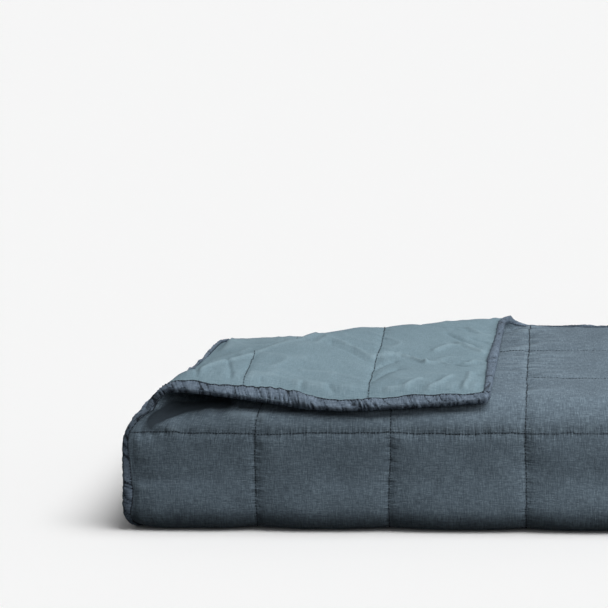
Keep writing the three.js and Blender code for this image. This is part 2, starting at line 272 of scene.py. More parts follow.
def middle_of_cloth(along, across):
    """The outer layer, the fold at the right, then the inner layer back to the left."""
    outer = outer_layer(along, np.minimum(across, FOLD_AT))
    angle = np.clip((across - FOLD_AT) / LAYER_OFFSET, 0, pi)
    hairpin = place_over(FOLD_AT + LAYER_OFFSET * np.sin(angle), along, LAYER_OFFSET * np.cos(angle))
    past = across - FOLD_AT - HAIRPIN_LENGTH
    inner = place_over(FOLD_AT - past, along, -LAYER_OFFSET)
    beyond_fold = np.where((past >= 0)[..., None], inner, hairpin)
    return np.where((across <= FOLD_AT)[..., None], outer, beyond_fold)


def rounded_off(radius, steep):
    """How far a rounded corner draws in where it is that steep, from 0 to 1."""
    return radius * (1 - np.sqrt(1 - steep**2))


def settled(point, middle):
    """Moves a point as the block has sunk and rounded where the middle of the cloth is."""
    over, back, up = np.moveaxis(middle, -1, 0)
    deep = np.clip(back / BLOCK_DEPTH, 0, 1)
    high = np.clip(up / BLOCK_HEIGHT, 0, 1)

    radius = lerp(SHOULDER_RADIUS_AT_FRONT, SHOULDER_RADIUS_AT_BACK, deep)
    steep = np.clip((up - BLOCK_HEIGHT + radius) / radius, 0, SHOULDER_STEEPEST)
    shoulder = rounded_off(radius, steep) * ramp(SHOULDER_FADES_OVER, 0, over)
    low = np.clip(1 - up / BOTTOM_CORNER_RADIUS, 0, BOTTOM_CORNER_STEEPEST)
    corner = rounded_off(BOTTOM_CORNER_RADIUS, low) * ramp(BOTTOM_CORNER_FADES_OVER, 0, over)

    bulge = FRONT_BULGE * np.sin(pi * high) * (1 - deep)
    near_floor = np.exp(-(((up - LOW_BULGE_AT) / LOW_BULGE_SPREAD) ** 2))
    low_bulge = LOW_BULGE * near_floor * ramp(LOW_BULGE_DEEP, 0, deep)

    drop_share = LEFT_DROP_SHARE * lerp(LEFT_DROP_AT_FRONT, 1, deep)
    drop = drop_share * np.exp(-np.maximum(over, 0) / LEFT_DROP_FADES_OVER)
    sag = SAG_SHARE * np.cos(2 * pi * (over / SAG_ACROSS + back / SAG_DEEP))
    rise = BACK_RISE_SHARE * ramp(BACK_RISE_FROM, BACK_RISE_TO, over)
    rise = rise * ramp(BACK_RISE_DEEP, 1, deep)
    z = np.maximum(point[..., 2] * (1 - drop - sag + rise), 0)
    return np.stack([point[..., 0] + shoulder + corner, point[..., 1] - bulge - low_bulge, z], -1)


def cloth_point(along, across, height):
    """The place, in metres, at a height from the middle of the cloth, towards the face."""
    reach = 0.4
    along, across, height = np.broadcast_arrays(along, across, height)
    forward = middle_of_cloth(along + reach, across) - middle_of_cloth(along - reach, across)
    sideways = middle_of_cloth(along, across + reach) - middle_of_cloth(along, across - reach)
    normal = unit(np.cross(forward, sideways))
    middle = middle_of_cloth(along, across)
    return (settled(middle + height[..., None] * normal, middle) - BLOCK_CENTRE) * METRES


# Objects in the scene


def add_object(name, data):
    thing = bpy.data.objects.new(name, data)
    bpy.context.scene.collection.objects.link(thing)
    return thing


def stand(thing, place, right, up, back):
    """Puts a camera or a lamp at a place, to look or shine away from back."""
    columns = np.column_stack([right, up, back])
    thing.matrix_world = Matrix.Translation(place) @ Matrix(columns.tolist()).to_4x4()


# The camera, at the photograph's viewing angle

FRAME_PIXELS = 608
FOCAL_PIXELS = 3411
SENSOR_WIDTH = 36
CAMERA_PLACE = np.array([0.0454, -3.8861, 0.9404])
CAMERA_YAW = math.radians(-4.48)
CAMERA_PITCH = math.radians(10.525)
CAMERA_ROLL = math.radians(-0.7)


def camera_axes():
    """The camera's right, up and forward directions."""
    level = math.cos(CAMERA_PITCH)
    forward = [math.sin(CAMERA_YAW) * level, math.cos(CAMERA_YAW) * level, -math.sin(CAMERA_PITCH)]
    sideways = np.array([math.cos(CAMERA_YAW), -math.sin(CAMERA_YAW), 0])
    upright = np.cross(sideways, forward)
    right = sideways * math.cos(CAMERA_ROLL) + upright * math.sin(CAMERA_ROLL)
    up = upright * math.cos(CAMERA_ROLL) - sideways * math.sin(CAMERA_ROLL)
    return right, up, np.array(forward)


def pixel_of(points):
    """Where points show in the photograph, in pixels."""
    right, up, forward = camera_axes()
    away = points - CAMERA_PLACE
    scale = FOCAL_PIXELS / (away @ forward)
    half = FRAME_PIXELS / 2
    return np.stack([half + scale * (away @ right), half - scale * (away @ up)], -1)


def add_camera():
    data = bpy.data.cameras.new("camera")
    data.sensor_fit = "HORIZONTAL"
    data.sensor_width = SENSOR_WIDTH
    data.lens = FOCAL_PIXELS * SENSOR_WIDTH / FRAME_PIXELS
    data.clip_end = 100
    camera = add_object("camera", data)
    right, up, forward = camera_axes()
    stand(camera, CAMERA_PLACE, right, up, -forward)
    bpy.context.scene.camera = camera


# Relief of the cloth: stitched lines, puckers, soft wrinkles and creases

PINCH_DEPTH = 1.8
PINCH_REACH = 4
PINCH_ROUNDED = 1.6
PUCKER_SPACING = 5
PUCKER_LENGTH = 26
PUCKER_HEIGHT = 0.7
PUCKER_REACH = 8
TOP_PUCKER_REACH = 40
TOP_PUCKER_GAIN = 4
GATHER_SPACING = 9
GATHER_LENGTH = 70
GATHER_HEIGHT = 1.5
GATHER_REACH = 26
UNDER_GATHER_SHARE = 0.3
PUFF_HEIGHT = 0.9
PUFF_OVER = 40
LOW_PUFF_HEIGHT = 2.5
LOW_PUFF_OVER = 55
WRINKLES = (34, 90, 30, 80)
WRINKLE_HEIGHT = 0.6
FINE_WRINKLES = (15, 21)
FINE_WRINKLE_SHARE = 0.5
RUMPLES = (64, 110, 36, 150)
RUMPLE_HEIGHT = 1.6
RUMPLE_SHARPNESS = 6
RUMPLE_PATCHES = 50
CREASE_GAIN = 1.7
SOFT_CREASE_FROM = 6
SHARP_POWER = 1.3
SOFT_POWER = 2
LEAST_HEIGHT = 1
NO_LINE_NEAR = 99
EDGE_CLEAR = 8
SEARCHED_BEYOND = 20
TOP_PUCKERS_FROM, TOP_PUCKERS_TO = FRONT_START + 30, FRONT_START - 40
LOW_PUFF_FROM, LOW_PUFF_TO = FRONT_END - 80, FRONT_END - 20

# Creases of the turned corner: height and half width in mm, then x and y of each pixel of the photograph
FLAP_CREASES = [
    (2, 3.5, 200, 370, 222, 363, 240, 358, 268, 348, 290, 340, 315, 334),
    (1.5, 2.8, 325, 337, 342, 342, 356, 349, 367, 355, 373, 358),
    (2.4, 2.8, 374, 357, 386, 355, 400, 355, 412, 358, 425, 363),
    (-2, 3, 374, 368, 384, 364, 394, 362),
    (-1.6, 4, 374, 378, 386, 373, 398, 370),
    (-2, 3.5, 448, 334, 462, 341, 476, 346),
    (1.8, 3, 458, 344, 470, 349, 482, 352),
    (1.6, 3, 434, 352, 450, 346, 474, 347),
    (1.4, 3, 425, 363, 440, 361, 453, 365),
    (-2.6, 3, 453, 364, 463, 366),
    (1.6, 3, 465, 363, 476, 360, 486, 361),
    (-2.2, 2.4, 262, 380, 262, 391),
    (-1.6, 2.4, 196, 373, 200, 381),
    (-1.8, 2.4, 228, 377, 232, 388),
    (-1.8, 2.4, 300, 384, 304, 395),
    (-1.6, 2.4, 330, 386, 336, 396),
    (-3.2, 3, 353, 397, 364, 394),
    (-3.4, 3, 368, 395, 380, 399),
    (1.6, 3.2, 388, 388, 404, 386, 420, 380),
    (1.8, 3, 414, 400, 428, 390, 440, 383, 452, 377),
    (-2.2, 2.6, 440, 395, 446, 391),
    (1.4, 3, 462, 392, 468, 380, 470, 372),
    (-1.8, 2.4, 478, 394, 480, 384),
    (1.6, 3, 468, 328, 482, 333, 494, 334),
    (-1.8, 2.6, 470, 338, 484, 341, 491, 343),
    (-1.6, 2.4, 476, 373, 486, 375),
    (1.3, 3, 300, 372, 330, 374, 356, 378),
    (1.3, 3, 250, 372, 272, 376, 300, 383),
    (1.1, 3.5, 308, 384, 332, 386, 350, 386),
    (-1.2, 4, 330, 344, 350, 352, 364, 360),
]

# The same for the layer under it, where it shows at the back left
UNDER_CREASES = [
    (4.4, 20, 212, 346, 232, 341, 262, 340, 300, 340),
    (2, 9, 186, 373, 200, 362, 214, 353),
    (1.6, 4, 218, 344, 232, 345, 250, 347, 268, 346),
    (-1.6, 5, 206, 356, 222, 352, 240, 352),
    (1.2, 4, 200, 364, 224, 357, 250, 350),
]

# The same for the front of the block, below the turned corner
FRONT_CREASES = [
    (-4.4, 16, 154, 406, 164, 409, 178, 407, 200, 403, 224, 402),
    (-3, 11, 158, 403, 170, 405),
    (-3.2, 5, 240, 404, 262, 406, 300, 410, 330, 413, 370, 414, 400, 411, 440, 409, 478, 406),
    (1.6, 6, 166, 420, 186, 413, 206, 409),
    (1.4, 7, 206, 409, 232, 411, 262, 415),
    (-1.6, 3.5, 139, 428, 143, 436),
    (-1.4, 3, 150, 427, 152, 436),
    (-1, 3, 165, 424, 164, 433),
    (1.2, 5, 150, 415, 158, 424, 172, 430),
]


def nearest_line(place, first, pitch):
    """The nearest stitched line's number, and the signed distance to it."""
    number = np.maximum(np.rint((place - first) / pitch), 0)
    return number, place - first - number * pitch


def line_wander(gone, number, seed):
    """How far a stitched line strays from straight: long waves and short jags."""
    row = 7.3 * number
    waves = LINE_WOBBLE * noise(gone / LINE_WOBBLE_LENGTH, row, seed)
    return waves + LINE_JAG * noise(gone / LINE_JAG_LENGTH, row, seed + 10)


def line_offsets(along, across):
    """Signed distances to the nearest stitched lines, along the cloth and across it."""
    number, sideways = nearest_line(across, FIRST_LINE_ACROSS, SQUARE_ACROSS)
    sideways = sideways - line_wander(along, number, 3)
    number, forward = nearest_line(along, FIRST_LINE_ALONG, SQUARE_ALONG)
    forward = forward - line_wander(across, number, 4)
    return sideways, forward


def creases_on(side, creases, under=False):
    """The creases as points of the cloth, where each pixel falls on that side."""
    steps = np.arange(2, FRONT_END, 3)
    along, across = np.meshgrid(steps, steps, indexing="ij")
    beyond = beyond_crease(along, across)
    open_here = beyond > SEARCHED_BEYOND if side < 0 else beyond < 0
    along, across = along[open_here], across[open_here]
    if under:
        across = SHEET_WIDTH - across
    shown = pixel_of(cloth_point(along, across, side * LAYER_THICKNESS / 2))
    found = []
    for height, half_width, *pixels in creases:
        nearest = [np.argmin(norm(shown - pixel, axis=1)) for pixel in np.reshape(pixels, (-1, 2))]
        found.append((np.column_stack([along[nearest], across[nearest]]), height, half_width))
    return found


def crease_height(along, across, creases):
    """The sum of the creases: a narrow one has a sharp crest, and a wide one is round."""
    total = np.zeros(along.shape)
    place = np.stack([along, across], -1)
    for points, height, half_width in creases:
        nearest = np.full(along.shape, np.inf)
        for start, end in zip(points[:-1], points[1:]):
            way = end - start
            share = np.clip(((place - start) @ way) / max(way @ way, 1e-9), 0, 1)
            away = norm(place - start - share[..., None] * way, axis=-1)
            nearest = np.minimum(nearest, away)
        power = SOFT_POWER if half_width > SOFT_CREASE_FROM else SHARP_POWER
        total += height * np.exp(-((nearest / half_width) ** power))
    return total


def pinch(distance):
    """From 0 to 1 where the thread of a stitched line draws the cloth in."""
    return np.exp((PINCH_ROUNDED - np.hypot(distance, PINCH_ROUNDED)) / PINCH_REACH)


def puckers_beside(along, across, sideways, forward, side, seed):
    """Short pleats that cross the stitched lines, longer and higher on top of the block."""
    on_top = ramp(TOP_PUCKERS_FROM, TOP_PUCKERS_TO, along) * (side > 0)
    one = noise(along / PUCKER_SPACING, sideways / PUCKER_LENGTH, seed)
    one = one * np.exp(-abs(sideways) / lerp(PUCKER_REACH, TOP_PUCKER_REACH, on_top))
    two = noise(forward / PUCKER_LENGTH, across / PUCKER_SPACING, seed + 1)
    return one * lerp(1, TOP_PUCKER_GAIN, on_top) + two * np.exp(-abs(forward) / PUCKER_REACH)


def slanting(along, across, lengths, seed):
    """Noise whose bumps lie aslant, by their lengths along and across, one way and the other."""
    a, b, c, d = lengths
    return noise(along / a + across / b, across / c - along / d, seed)


def relief(along, across, side, creases):
    """Height of the visible surface above the middle of the cloth, and marks for its material."""
    seed = 20 if side > 0 else 30
    to_end = np.minimum(along, SHEET_LENGTH - along)
    to_side = np.minimum(across, SHEET_WIDTH - across)
    edge = np.minimum(to_end, to_side)
    filled = ramp(BINDING_WIDTH, BINDING_WIDTH + FILLS_OUT_OVER, edge)
    half = lerp(SEAM_THICKNESS, LAYER_THICKNESS, filled) / 2
    sideways, forward = line_offsets(along, across)
    groove = 1 - (1 - pinch(sideways)) * (1 - pinch(forward))

    by_edge = np.where(to_end < to_side, across, along)
    gathers = noise(by_edge / GATHER_SPACING, edge / GATHER_LENGTH, seed + 2)
    gathers = gathers * np.exp(-np.maximum(edge - BINDING_WIDTH, 0) / GATHER_REACH)
    gathers = gathers * np.where((side < 0) & (across > FOLD_AT), UNDER_GATHER_SHARE, 1)
    rumples = (1 - abs(slanting(along, across, RUMPLES, seed + 5))) ** RUMPLE_SHARPNESS
    patches = noise(along / RUMPLE_PATCHES, across / RUMPLE_PATCHES, seed + 6)
    rumples = rumples * (0.6 + 0.8 * patches) * (side < 0)
    folds = (
        GATHER_HEIGHT * gathers
        + PUCKER_HEIGHT * puckers_beside(along, across, sideways, forward, side, seed)
        + CREASE_GAIN * crease_height(along, across, creases)
        + RUMPLE_HEIGHT * rumples
    )

    fine = noise(along / FINE_WRINKLES[0], across / FINE_WRINKLES[1], seed + 4)
    wrinkles = slanting(along, across, WRINKLES, seed + 3) + FINE_WRINKLE_SHARE * fine
    free = ramp(0, PUFF_OVER, np.minimum(abs(sideways), abs(forward)))
    low_down = ramp(LOW_PUFF_FROM, LOW_PUFF_TO, along) * (side > 0)
    low_puff = LOW_PUFF_HEIGHT * ramp(0, LOW_PUFF_OVER, abs(sideways)) * low_down
    raised = PUFF_HEIGHT * free + WRINKLE_HEIGHT * wrinkles + folds + low_puff

    clear = ramp(BINDING_WIDTH - 1, BINDING_WIDTH + EDGE_CLEAR, edge)
    open_to_view = visible(along, across, side) * clear
    height = half - PINCH_DEPTH * groove * filled + raised * open_to_view
    sewn_sideways = np.where((side < 0) & (across < FOLD_AT), NO_LINE_NEAR, sideways)
    marks = {"crest": folds * open_to_view, "from_along_line": sewn_sideways, "from_across_line": forward}
    return side * np.maximum(height, LEAST_HEIGHT), marks


def visible(along, across, side):
    """From 0 where the cloth lies between other plies to 1 where it is open to view."""
    beyond = beyond_crease(along, across)
    on_outer = ramp(FOLD_AT + 12, FOLD_AT - 4, across)
    in_front = ramp(FRONT_END, FRONT_END - 14, along)
    if side > 0:
        return on_outer * in_front * ramp(60, 25, beyond)
    turned = on_outer * in_front * ramp(-6, 14, beyond)
    uncovered = (1 - on_outer) * ramp(30, 60, beyond_crease(along, SHEET_WIDTH - across))
    return np.maximum(turned, uncovered)


# The grid of a panel: blocks of cells, cut finely where the cloth shows

CELL = 2.3
BLOCK = 8
ROWS = BLOCK * round(SHEET_LENGTH / (BLOCK * CELL))
COLUMNS = BLOCK * round(SHEET_WIDTH / (BLOCK * CELL))
ROW_PLACES = np.linspace(0, SHEET_LENGTH, ROWS + 1)
COLUMN_PLACES = np.linspace(0, SHEET_WIDTH, COLUMNS + 1)
SEEN_ACROSS = 470
COVERED_FROM = 30
NEAR_BEND = 8
NEAR_FOLD = 24
MARGIN = 12
ROLL_FROM, ROLL_TO = -20, 80
UNDER_FLAP = 75


def near_bend(along):
    return any(start - NEAR_BEND < along < start + length + NEAR_BEND for start, length, *_ in BENDS)


def near_hairpin(across):
    return abs(across - FOLD_AT - HAIRPIN_LENGTH / 2) < NEAR_FOLD


def hidden_steps(along, across):
    """Steps in cells along and across, for a block between other plies."""
    rows = 2 if near_bend(along) else 8
    if near_hairpin(across):
        return min(rows, 4), 1
    if min(across, SHEET_WIDTH - across) < NEAR_FOLD:
        return min(rows, 4), 4
    return rows, 4 if rows == 2 else 8


def face_steps(along, across):
    beyond = beyond_crease(along, across)
    if across > FOLD_AT - MARGIN or along > FRONT_END + MARGIN:
        return hidden_steps(along, across)
    if beyond > UNDER_FLAP:
        return 4, 4
    mirrored = min(along + 2 * CREASE_ALONG * beyond, across + 2 * CREASE_ACROSS * beyond)
    if across > SEEN_ACROSS or (beyond < ROLL_FROM and mirrored > COVERED_FROM):
        return 2, 2
    return 1, 1


def reverse_steps(along, across):
    if along > CREASE_AT_SIDE + 10:
        return hidden_steps(along, across)
    if across < FOLD_AT and beyond_crease(along, across) > -16:
        return 1, 1
    if across > FOLD_AT + NEAR_FOLD and beyond_crease(along, SHEET_WIDTH - across) > COVERED_FROM:
        return 2, 2
    return hidden_steps(along, across)


def middle_steps(along, across):
    """Steps for the side of a panel that lies against the other panel."""
    if across < FOLD_AT and ROLL_FROM < beyond_crease(along, across) < ROLL_TO:
        return 2, 2
    return 2 if near_bend(along) else 8, 2 if near_hairpin(across) else 8


def make_tiles(steps_at):
    """Rectangles of cells that cover the sheet: row, column, cells down and cells over."""
    tiles = []
    for row in range(0, ROWS, BLOCK):
        for column in range(0, COLUMNS, BLOCK):
            down, over = steps_at(ROW_PLACES[row + BLOCK // 2], COLUMN_PLACES[column + BLOCK // 2])
            rows, columns = range(row, row + BLOCK, down), range(column, column + BLOCK, over)
            tiles += [(i, j, down, over) for i in rows for j in columns]
    return tiles


def number_corners(tiles, start):
    """The grid's places that are corners of tiles, numbered from start, and -1 at the others."""
    numbers = np.full((ROWS + 1, COLUMNS + 1), -1)
    i, j, down, over = np.array(tiles).T
    for rows in (i, i + down):
        for columns in (j, j + over):
            numbers[rows, columns] = 0
    numbers[numbers == 0] = start + np.arange(np.sum(numbers == 0))
    return numbers


def tile_ring(tile, numbers):
    """The numbers round a tile, in order."""
    i, j, down, over = tile
    left, bottom = numbers[i : i + down, j], numbers[i + down, j : j + over]
    right, top = numbers[i + down : i : -1, j + over], numbers[i, j + over : j : -1]
    return [number for number in (*left, *bottom, *right, *top) if number >= 0]


def rounded_corner(along, across):
    """Draws the sheet's four corners in to quarter circles, as wide as the binding."""
    places = np.stack([along, across], -1)
    middle = np.array([SHEET_LENGTH, SHEET_WIDTH]) / 2
    past = np.maximum(abs(places - middle) - (middle - BINDING_WIDTH), 0)
    away = np.maximum(norm(past, axis=-1), 1e-9)
    share = np.where(past.min(-1) > 0, past.max(-1) / away, 1)
    return (places - np.sign(places - middle) * past * (1 - share)[:, None]).T


def panel_mesh(name, side, steps_at, creases):
    """One panel as a closed mesh: its visible side, the side within the quilt, and walls."""
    faces = []

    def add_side(steps_at, start, outward):
        tiles = make_tiles(steps_at)
        numbers = number_corners(tiles, start)
        for tile in tiles:
            faces.append(tile_ring(tile, numbers)[::outward])
        rows, columns = np.nonzero(numbers >= 0)
        return numbers, *rounded_corner(ROW_PLACES[rows], COLUMN_PLACES[columns])

    def add_wall(rows, columns):
        ring = (*shown[rows, columns], *inner[rows, columns][::-1])
        faces.append([number for number in ring if number >= 0][::side])

    shown, along, across = add_side(steps_at, 0, side)
    inner, inner_along, inner_across = add_side(middle_steps, len(along), -side)
    for row in range(0, ROWS, BLOCK):
        span = np.arange(row, row + BLOCK + 1)
        add_wall(span[::-1], 0)
        add_wall(span, COLUMNS)
    for column in range(0, COLUMNS, BLOCK):
        span = np.arange(column, column + BLOCK + 1)
        add_wall(0, span)
        add_wall(ROWS, span[::-1])

    height, marks = relief(along, across, side, creases)
    plain = np.zeros(len(inner_along))
    values = {label: np.append(numbers, plain) for label, numbers in marks.items()}
    along, across = np.append(along, inner_along), np.append(across, inner_across)
    points = cloth_point(along, across, np.append(height, plain + side * PANEL_GAP / 2))
    return add_mesh(name, points, faces, np.column_stack([across, along]), values)


def add_mesh(name, points, faces, cloth_places, values):
    """A smooth mesh object, with the cloth's own places as UVs and values at its points."""
    mesh = bpy.data.meshes.new(name)
    mesh.from_pydata(points.tolist(), [], faces)
    mesh.shade_smooth()
    corner = np.zeros(len(mesh.loops), np.int32)
    mesh.loops.foreach_get("vertex_index", corner)
    uv = mesh.uv_layers.new(name="cloth")
    uv.data.foreach_set("uv", (cloth_places[corner] * METRES).astype(np.float32).ravel())
    for label, numbers in values.items():
        attribute = mesh.attributes.new(label, "FLOAT", "POINT")
        attribute.data.foreach_set("value", numbers.astype(np.float32))
    return add_object(name, mesh)


def tube_faces(rings, size, start=0, closed=False):
    """Quads between the rings of a tube, whose points are numbered from start."""
    faces = []
    for ring in range(rings if closed else rings - 1):
        here = start + ring * size
        there = start + (ring + 1) % rings * size
        for corner in range(size):
            beside = (corner + 1) % size
            faces.append([here + corner, here + beside, there + beside, there + corner])
    return faces


# The binding: a gathered strip folded over the edge all the way round

STRIP_HEIGHT = 6.2
STRIP_AT_SEAM = 4.7
STRIP_NOSE = 1.2
STRIP_NARROWEST = 5.4
STRIP_WIDEST = 12.6
SEAM_JITTER = 0.7
JITTER_LENGTH = 6
SIDE_WANDER = 30
END_WANDER = 70
TUCKED_SHARE = 0.6
UNDER_TUCKED_SHARE = 0.35
SWELL_SHARE = 0.5
SWELL_LENGTH = 24
FLATTER_AT_FRONT = 0.3
END_SWELL_SHARE = 0.2
CHANNEL_HEIGHT = 3.62
CHANNEL_REACH = 0.5
STRIP_THICKNESS = 0.25
STRIP_STEPS = 7
CORNER_STEPS = 7
RING_SPACING = 0.85
FAR_RING_SPACING = 1.8
UNDER_RING_SPACING = 2.5
HIDDEN_RING_SPACING = 5
LAST_RING_SPACING = 12
RIB_SPACING = 4.4
END_RIB_SPACING = 15
RIB_DEPTH = 2.3
RIB_SLANT = 6.5
RIB_AT_SEAM = 0.4
RIB_SHARPNESS = 5
END_RIB_SHARPNESS = 1.8
END_RIB_SHADE = 0.78
FINE_RIB_SHARE = 0.35
RIB_MEAN = 0.4
STRIP_LUMPS = 0.9
EDGE_PUFF_SHARE = 0.35
SHADE_AT_FRONT = 0.2
SHADE_UNDERNEATH = 0.45
ROUND_FRONT_FROM, ROUND_FRONT_TO = CREASE_AT_SIDE - 220, CREASE_AT_SIDE - 80


def strip_profile():
    """The strip's cross section: reach outward from the seam, height, and how freely it puffs."""
    angle = np.linspace(0, pi / 2, STRIP_STEPS)
    reach = (BINDING_WIDTH + STRIP_NOSE) * np.sin(angle)
    body = STRIP_HEIGHT * np.cos(angle) ** 0.6
    height = np.minimum(body, lerp(STRIP_AT_SEAM, STRIP_HEIGHT, np.sin(2.6 * angle / 2.2)))
    height[-1] = 0
    free = lerp(RIB_AT_SEAM, 1, np.sin(1.5 * angle))
    upper = np.column_stack([reach, height, free])
    lower = upper[-2::-1] * [1, -1, 1]
    deep, high = BINDING_WIDTH + CHANNEL_REACH, CHANNEL_HEIGHT
    channel = [(0, -high, 0), (deep, -high, 0), (deep, high, 0), (0, high, 0)]
    return np.vstack([upper, lower, channel])


def near_side(across):
    """Whether a place is on the binding of a side, not of an end."""
    return np.minimum(across, SHEET_WIDTH - across) < BINDING_WIDTH + 1


def at_front(along, across):
    """From 0 to 1 along the left edge, where it comes round the front of the block."""
    return ramp(ROUND_FRONT_FROM, ROUND_FRONT_TO, along) * (across < BINDING_WIDTH + 1)


def strip_width(along, across):
    """How far the seam lies from the cloth's edge, which varies on a gathered strip."""
    along, across = np.clip(along, 0, SHEET_LENGTH), np.clip(across, 0, SHEET_WIDTH)
    on_side = near_side(across)
    place = np.where(on_side, along / SIDE_WANDER, across / END_WANDER + 0.5)
    width = lerp(STRIP_NARROWEST, STRIP_WIDEST, 0.5 + 0.5 * noise(place, 0, 60))
    width = width + SEAM_JITTER * noise(np.where(on_side, along, across) / JITTER_LENGTH, 0, 61)
    tucked = ramp(SHEET_WIDTH - 40, SHEET_WIDTH - 12, across) * (along < FRONT_START)
    narrowed = ramp(FRONT_START + 80, FRONT_START + 30, along) * at_front(along, across)
    return width * lerp(1, UNDER_TUCKED_SHARE, tucked) * lerp(1, TUCKED_SHARE, narrowed)


def strip_swell(along, across):
    """How thick the strip is along the edge: puffed and drawn in by turns."""
    share = np.where(near_side(across), SWELL_SHARE, END_SWELL_SHARE)
    swell = 1 + share * noise((along - across) / SWELL_LENGTH, 0, 54)
    return swell * (1 - FLATTER_AT_FRONT * at_front(along, across))


def strip_spacing(along, across):
    """Distance between rings, close together where the binding shows."""
    if near_side(across) and along > FRONT_END + 20:
        return UNDER_RING_SPACING if near_bend(along) else HIDDEN_RING_SPACING
    if along > SHEET_LENGTH - BINDING_WIDTH - 1:
        return LAST_RING_SPACING
    if across > FOLD_AT + HAIRPIN_LENGTH:
        return UNDER_RING_SPACING
    return RING_SPACING if across < CREASE_AT_END + 20 else FAR_RING_SPACING


def strip_path():
    """Places along the seam, each with its way outward, in order round the sheet."""
    low, far_along, far_across = BINDING_WIDTH, SHEET_LENGTH - BINDING_WIDTH, SHEET_WIDTH - BINDING_WIDTH
    corners = np.array([(low, low), (far_along, low), (far_along, far_across), (low, far_across)])
    ways = np.array([(0, -1), (1, 0), (0, 1), (-1, 0)])
    path = []
    for start, end, way, next_way in zip(corners, np.roll(corners, -1, 0), ways, np.roll(ways, -1, 0)):
        length = norm(end - start)
        gone = 0
        while gone < length:
            here = start + (end - start) * gone / length
            path.append((here, way))
            gone += strip_spacing(*here)
        for turned in np.arange(CORNER_STEPS) * pi / 2 / CORNER_STEPS:
            path.append((end, way * math.cos(turned) + next_way * math.sin(turned)))
    return np.moveaxis(np.array(path), 1, 0)


def binding_mesh(name):
    places, outward = strip_path()
    edge_path = places + outward * BINDING_WIDTH
    gone = np.append(0, np.cumsum(norm(np.diff(edge_path, axis=0), axis=1)))[:, None]
    edge_along, edge_across = edge_path[:, :1], edge_path[:, 1:]
    on_side = abs(outward[:, 1:]) > 0.5
    profile = strip_profile()
    reach, height, free = profile.T[:, None]
    turn = np.linspace(0, 1, len(profile))[None]

    # The gathers slant, and their furrows are narrow on the sides and soft on the ends
    place = gone + RIB_SLANT * reach / BINDING_WIDTH + 2 * noise(gone / 9, turn * 3, 50)
    place = place / np.where(on_side, RIB_SPACING, END_RIB_SPACING)
    ridge = 1 - abs(noise(place, turn * 1.2, 51))
    fine = 1 - abs(noise(place * 2, turn * 2.4, 52))
    sharpness = np.where(on_side, RIB_SHARPNESS, END_RIB_SHARPNESS)
    furrow = RIB_MEAN - ridge**sharpness - FINE_RIB_SHARE * fine**4
    puffed = free * (RIB_DEPTH * furrow + STRIP_LUMPS * noise(gone / 21, turn, 53))

    # The strip keeps clear of the panels, which lie in the channel inside it
    face_way = np.sign(height)
    thinnest = np.where(reach < BINDING_WIDTH + CHANNEL_REACH, CHANNEL_HEIGHT + STRIP_THICKNESS, 0)
    full_height = height * strip_swell(edge_along, edge_across) + face_way * puffed
    full_height = face_way * np.maximum(abs(full_height), thinnest)
    full_height = np.where(abs(height) == CHANNEL_HEIGHT, height, full_height)
    nose = BINDING_WIDTH + STRIP_NOSE
    drawn = (nose - reach) * (strip_width(edge_along, edge_across) + STRIP_NOSE) / nose
    full_reach = nose - drawn + np.where(height == 0, 1, EDGE_PUFF_SHARE) * puffed
    spots = places[:, None] + outward[:, None] * full_reach[..., None]
    points = cloth_point(*np.moveaxis(spots, -1, 0), full_height).reshape(-1, 3)

    around = np.where(height < 0, -reach, reach)
    uv = np.stack(np.broadcast_arrays(gone, around), -1).reshape(-1, 2)
    # The furrow mark paints shade on the strip: in the gathers' furrows, under the turned corner's edge and
    # along the left edge at the front. It also makes the strip darker at its inner edge where it is sewn.
    sewn = on_side & (places[:, 1:] < CREASE_AT_END)
    underneath = on_side & (height > 1) & (edge_along < CREASE_AT_SIDE - 20)
    shaded = SHADE_AT_FRONT * at_front(edge_along, edge_across) + SHADE_UNDERNEATH * underneath
    strong = np.where(on_side, 1, END_RIB_SHADE)
    no_line = np.full(full_reach.size, NO_LINE_NEAR)
    values = {
        "furrow": np.clip((0.35 - furrow) * strong + np.exp(-reach / 1.2) * sewn + shaded, 0, 1).ravel(),
        "crest": (4 * furrow * free).ravel(),
        "from_along_line": no_line,
        "from_across_line": no_line,
    }
    return add_mesh(name, points, tube_faces(len(places), len(profile), closed=True), uv, values)


# The stitches: dark thread that dips under the cloth between one stitch and the next

STITCH_LENGTH = 3.6
THREAD_RADIUS = 0.42
THREAD_SIDES = 5
THREAD_STEP = 0.9
THREAD_RISE = 0.6
THREAD_DIP = 0.9
SEAM_STITCH_INSET = 0.9
SEAM_STITCH_LIFT = 0.15
LAST_STITCH_ALONG = FRONT_END - 4
SEWN_UNDER_FLAP = 40


def stitch_lines():
    """Each line of stitches that shows: its side, start and end."""
    lines = []
    for number in range(5):
        across = FIRST_LINE_ACROSS + number * SQUARE_ACROSS
        crease = max(CREASE_AT_SIDE * (1 - across / CREASE_AT_END), 0)
        lines.append((1, (max(crease - SEWN_UNDER_FLAP, BINDING_WIDTH), across), (LAST_STITCH_ALONG, across)))
    for number in range(3):
        along = FIRST_LINE_ALONG + number * SQUARE_ALONG
        crease = max(CREASE_AT_END * (1 - along / CREASE_AT_SIDE), 0)
        lines.append((1, (along, max(crease - SEWN_UNDER_FLAP, BINDING_WIDTH)), (along, FOLD_AT + 14)))
        if crease > BINDING_WIDTH + 20:
            lines.append((-1, (along, BINDING_WIDTH), (along, crease)))
            lines.append((-1, (along, SHEET_WIDTH - crease + 30), (along, SHEET_WIDTH - 60)))
    for number in (9, 10):
        across = FIRST_LINE_ACROSS + number * SQUARE_ACROSS
        crease = CREASE_AT_SIDE * (1 - (SHEET_WIDTH - across) / CREASE_AT_END)
        lines.append((-1, (60, across), (crease - 30, across)))
    return lines


def wobbled(along, across, runs_along):
    """Moves a straight line onto the wandering one that line_offsets measures from."""
    sideways, forward = line_offsets(along, across)
    return (along, across - sideways) if runs_along else (along - forward, across)


